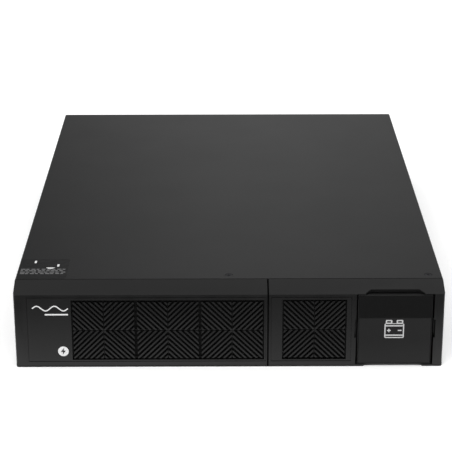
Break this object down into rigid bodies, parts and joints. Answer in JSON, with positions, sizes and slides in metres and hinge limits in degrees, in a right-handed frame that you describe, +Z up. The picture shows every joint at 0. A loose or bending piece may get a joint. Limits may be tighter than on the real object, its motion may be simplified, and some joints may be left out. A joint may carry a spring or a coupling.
{
  "type": "uninterruptible power supply battery module",
  "caption": "Flat two-unit rack or tower battery module for a UPS, with chevron-slatted front bezels, a square battery cover, sliding battery drawers and rear DC connectors.",
  "frame": {"origin": "middle of the base, on the surface that the module stands on", "axes": "+X to the right seen from the front, +Y from the front bezels to the rear panel, +Z up"},
  "size_m": [0.438, 0.61, 0.088],
  "materials": {
    "powder_coat": "fine-textured black powder coat",
    "zinc": "zinc-plated steel sheet",
    "black_plastic": "satin black moulding",
    "gloss_black": "piano black",
    "grey_housing": "satin grey moulding",
    "battery_casing": "dark grey battery case",
    "webbing": "woven black strap",
    "circuit_board": "green circuit board",
    "fuse_body": "white fuse tube",
    "slide_liner": "natural low-friction sheet",
    "red_cable": "red cable sheath",
    "black_cable": "black cable sheath"
  },
  "bodies": {
    "chassis": {"base_tray": "powder_coat", "top_cover": "powder_coat", "front_frame": "powder_coat", "rear_panel": "powder_coat", "cover_screw_1": "powder_coat", "cover_screw_2": "powder_coat", "cover_screw_3": "powder_coat", "bay_divider": "zinc", "left_bulkhead": "zinc", "right_bulkhead": "zinc", "left_slide_mat": "slide_liner", "right_slide_mat": "slide_liner", "left_socket": "black_plastic", "right_socket": "black_plastic", "bus_board": "circuit_board", "fuse_carrier": "black_plastic", "fuse_1": "fuse_body", "fuse_2": "fuse_body", "fuse_3": "fuse_body", "dc_breaker": "black_plastic", "output_connector": "grey_housing", "link_connector": "grey_housing", "signal_jacks": "black_plastic", "ground_stud": "zinc", "left_feed_positive": "red_cable", "left_feed_negative": "black_cable", "right_feed_positive": "red_cable", "right_feed_negative": "black_cable", "breaker_lead": "red_cable", "output_lead": "red_cable"},
    "left_drawer": {"left_tray": "zinc", "battery_1": "battery_casing", "battery_2": "battery_casing", "battery_3": "battery_casing", "battery_4": "battery_casing", "battery_5": "battery_casing", "battery_6": "battery_casing", "left_plug": "black_plastic", "left_hold_down": "zinc", "left_pull_strap": "webbing", "left_thumbscrew_1": "zinc", "left_thumbscrew_2": "zinc"},
    "right_drawer": {"right_tray": "zinc", "battery_7": "battery_casing", "battery_8": "battery_casing", "battery_9": "battery_casing", "right_plug": "black_plastic", "right_hold_down": "zinc", "right_pull_strap": "webbing", "right_thumbscrew_1": "zinc", "right_thumbscrew_2": "zinc", "service_socket": "black_plastic"},
    "left_front": {"left_bezel": "black_plastic", "left_grille": "black_plastic"},
    "right_front": {"right_bezel": "black_plastic", "right_grille": "black_plastic"},
    "square_cover": {"battery_cover": "black_plastic", "cover_plate": "gloss_black"},
    "isolator": {"service_plug": "grey_housing"},
    "lever": {"breaker_lever": "gloss_black"}
  },
  "joints": [
    {"name": "left_drawer_slide", "type": "slide", "parent": "chassis", "child": "left_drawer", "axis": [0, -1, 0], "range_m": [0, 0.45]},
    {"name": "right_drawer_slide", "type": "slide", "parent": "chassis", "child": "right_drawer", "axis": [0, -1, 0], "range_m": [0, 0.34]},
    {"name": "left_bezel_pull", "type": "slide", "parent": "left_drawer", "child": "left_front", "axis": [0, -1, 0], "range_m": [0, 0.04]},
    {"name": "right_bezel_pull", "type": "slide", "parent": "right_drawer", "child": "right_front", "axis": [0, -1, 0], "range_m": [0, 0.04]},
    {"name": "cover_pull", "type": "slide", "parent": "right_front", "child": "square_cover", "axis": [0, -1, 0], "range_m": [0, 0.03]},
    {"name": "isolator_pull", "type": "slide", "parent": "right_drawer", "child": "isolator", "axis": [0, -1, 0], "range_m": [0, 0.012]},
    {"name": "lever_tilt", "type": "hinge", "parent": "chassis", "child": "lever", "pos_m": [0.07, 0.287, 0.044], "axis": [-1, 0, 0], "range_deg": [0, 50]}
  ]
}
